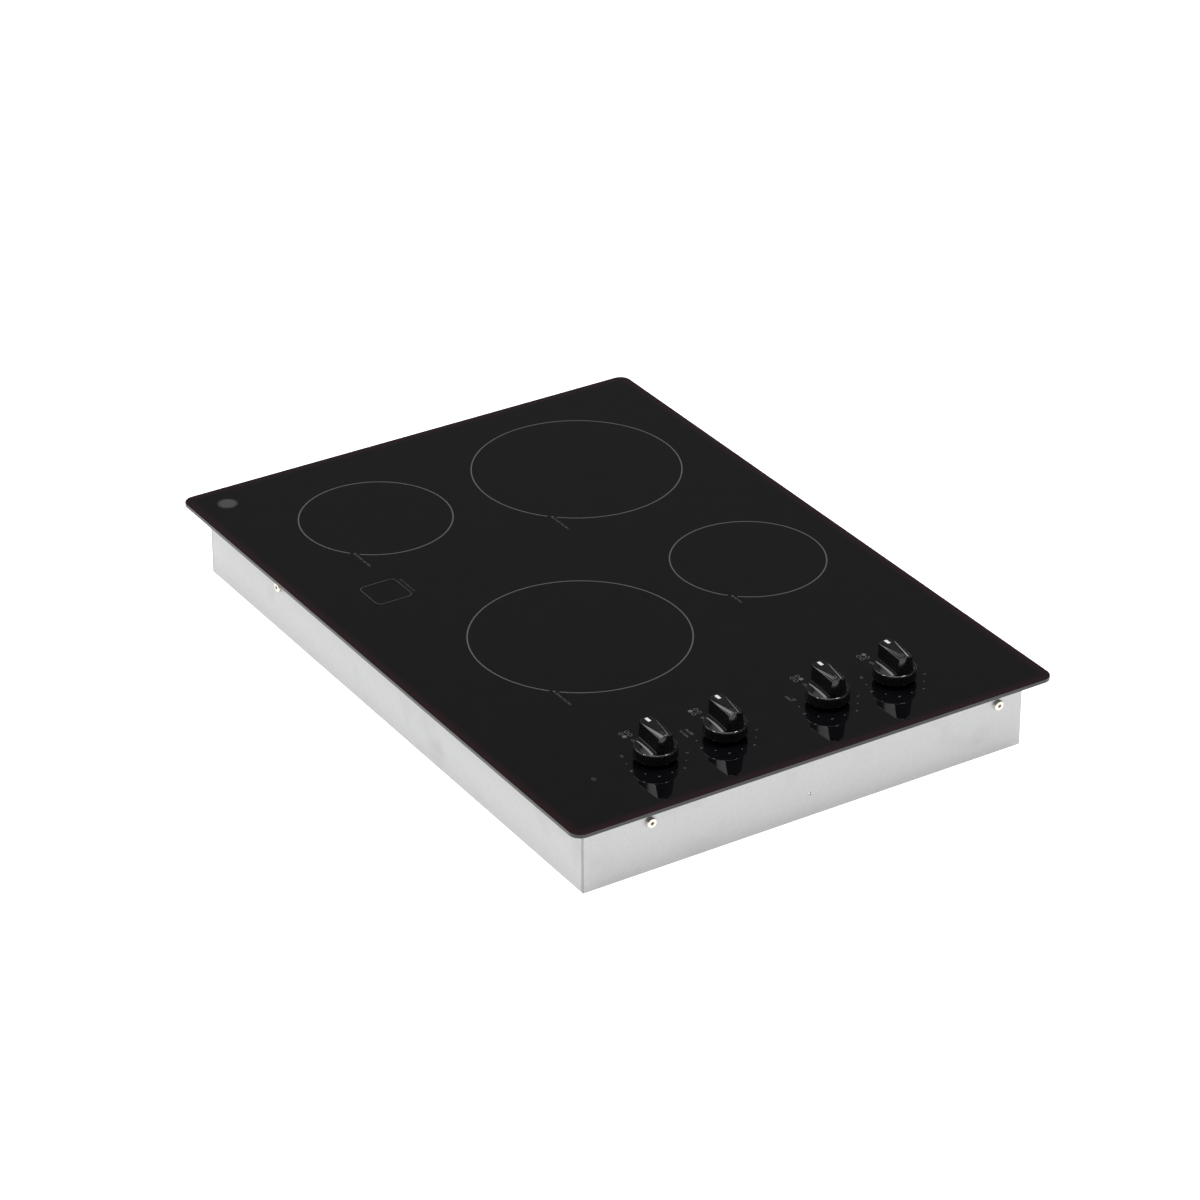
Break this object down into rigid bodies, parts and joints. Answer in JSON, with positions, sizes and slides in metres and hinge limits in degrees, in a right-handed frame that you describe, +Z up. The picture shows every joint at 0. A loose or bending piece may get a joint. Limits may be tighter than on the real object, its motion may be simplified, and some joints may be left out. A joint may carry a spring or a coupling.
{
  "type": "built-in radiant cooktop",
  "caption": "Drop-in electric cooktop: a bevelled black ceramic-glass top over a galvanised burner box, with radiant zones and a column of push-to-turn bar knobs at the right.",
  "frame": {"origin": "centre of the burner box's underside, which is also the bottom centre of the whole part", "axes": "+X to the user's right, towards the knobs; +Y away from the user, towards the back; +Z up"},
  "size_m": [0.7556, 0.531, 0.1142],
  "materials": {
    "ceramic_glass": "black ceramic glass, polished, with printed grey rings",
    "foam_tape": "matt closed-cell foam",
    "silicone": "cured black silicone",
    "plain_steel": "bright aluminised sheet",
    "galvanised_steel": "galvanised sheet with a fine spangle",
    "screw_plating": "nickel plate with a warm tone",
    "spring_steel": "bright spring steel",
    "black_rubber": "satin moulded rubber",
    "lamp_lens": "red translucent lens",
    "dark_phenolic": "moulded phenolic",
    "lead_sleeving": "woven lead sleeving",
    "ceramic_fibre": "pressed fibre board",
    "heater_ribbon": "oxidised resistance ribbon",
    "white_ceramic": "steatite ceramic",
    "knob_plastic": "glossy moulded black plastic"
  },
  "bodies": {
    "root": {"glass_top": "ceramic_glass", "rim_gasket": "foam_tape", "adhesive_bead": "silicone", "top_frame": "plain_steel", "burner_box": "galvanised_steel", "side_screws": "screw_plating", "element_rails": "plain_steel", "rail_springs": "spring_steel", "heat_shield": "plain_steel", "switch_bracket": "plain_steel", "bracket_screws": "spring_steel", "shaft_grommets": "black_rubber", "indicator_lamp": "lamp_lens", "indicator_bracket": "plain_steel", "terminal_block": "dark_phenolic", "inlet_bushing": "dark_phenolic", "wire_harness": "lead_sleeving", "switch_covers": "plain_steel", "switch_terminals": "screw_plating", "front_right_dish": "plain_steel", "front_right_insulation": "ceramic_fibre", "front_right_coil": "heater_ribbon", "front_right_limiter": "white_ceramic", "front_left_dish": "plain_steel", "front_left_insulation": "ceramic_fibre", "front_left_coil": "heater_ribbon", "front_left_limiter": "white_ceramic", "rear_right_dish": "plain_steel", "rear_right_insulation": "ceramic_fibre", "rear_right_coil": "heater_ribbon", "rear_right_limiter": "white_ceramic", "rear_left_dish": "plain_steel", "rear_left_insulation": "ceramic_fibre", "rear_left_coil": "heater_ribbon", "rear_left_limiter": "white_ceramic", "front_right_switch_base": "dark_phenolic", "front_left_switch_base": "dark_phenolic", "rear_right_switch_base": "dark_phenolic", "rear_left_switch_base": "dark_phenolic"},
    "front_right_cam": {"front_right_switch_cam": "white_ceramic", "front_right_switch_spring": "spring_steel"},
    "front_right_shaft": {"front_right_switch_shaft": "spring_steel"},
    "front_right_knob": {"front_right_knob": "knob_plastic", "front_right_knob_clip": "spring_steel"},
    "front_left_cam": {"front_left_switch_cam": "white_ceramic", "front_left_switch_spring": "spring_steel"},
    "front_left_shaft": {"front_left_switch_shaft": "spring_steel"},
    "front_left_knob": {"front_left_knob": "knob_plastic", "front_left_knob_clip": "spring_steel"},
    "rear_right_cam": {"rear_right_switch_cam": "white_ceramic", "rear_right_switch_spring": "spring_steel"},
    "rear_right_shaft": {"rear_right_switch_shaft": "spring_steel"},
    "rear_right_knob": {"rear_right_knob": "knob_plastic", "rear_right_knob_clip": "spring_steel"},
    "rear_left_cam": {"rear_left_switch_cam": "white_ceramic", "rear_left_switch_spring": "spring_steel"},
    "rear_left_shaft": {"rear_left_switch_shaft": "spring_steel"},
    "rear_left_knob": {"rear_left_knob": "knob_plastic", "rear_left_knob_clip": "spring_steel"}
  },
  "joints": [
    {"name": "front_right_turn", "type": "hinge", "parent": "root", "child": "front_right_cam", "pos_m": [0.3028, -0.13335, 0.045], "axis": [0, 0, 1], "continuous": true},
    {"name": "front_right_push", "type": "slide", "parent": "front_right_cam", "child": "front_right_shaft", "axis": [0, 0, -1], "range_m": [0, 0.003], "stiffness_N_per_m": 1500, "springref_m": -0.003, "deforming": ["front_right_switch_spring"]},
    {"name": "front_right_pull_off", "type": "slide", "parent": "front_right_shaft", "child": "front_right_knob", "axis": [0, 0, 1], "range_m": [0, 0.02]},
    {"name": "front_left_turn", "type": "hinge", "parent": "root", "child": "front_left_cam", "pos_m": [0.3028, -0.05715, 0.045], "axis": [0, 0, 1], "continuous": true},
    {"name": "front_left_push", "type": "slide", "parent": "front_left_cam", "child": "front_left_shaft", "axis": [0, 0, -1], "range_m": [0, 0.003], "stiffness_N_per_m": 1500, "springref_m": -0.003, "deforming": ["front_left_switch_spring"]},
    {"name": "front_left_pull_off", "type": "slide", "parent": "front_left_shaft", "child": "front_left_knob", "axis": [0, 0, 1], "range_m": [0, 0.02]},
    {"name": "rear_right_turn", "type": "hinge", "parent": "root", "child": "rear_right_cam", "pos_m": [0.3028, 0.05715, 0.045], "axis": [0, 0, 1], "continuous": true},
    {"name": "rear_right_push", "type": "slide", "parent": "rear_right_cam", "child": "rear_right_shaft", "axis": [0, 0, -1], "range_m": [0, 0.003], "stiffness_N_per_m": 1500, "springref_m": -0.003, "deforming": ["rear_right_switch_spring"]},
    {"name": "rear_right_pull_off", "type": "slide", "parent": "rear_right_shaft", "child": "rear_right_knob", "axis": [0, 0, 1], "range_m": [0, 0.02]},
    {"name": "rear_left_turn", "type": "hinge", "parent": "root", "child": "rear_left_cam", "pos_m": [0.3028, 0.13335, 0.045], "axis": [0, 0, 1], "continuous": true},
    {"name": "rear_left_push", "type": "slide", "parent": "rear_left_cam", "child": "rear_left_shaft", "axis": [0, 0, -1], "range_m": [0, 0.003], "stiffness_N_per_m": 1500, "springref_m": -0.003, "deforming": ["rear_left_switch_spring"]},
    {"name": "rear_left_pull_off", "type": "slide", "parent": "rear_left_shaft", "child": "rear_left_knob", "axis": [0, 0, 1], "range_m": [0, 0.02]}
  ]
}
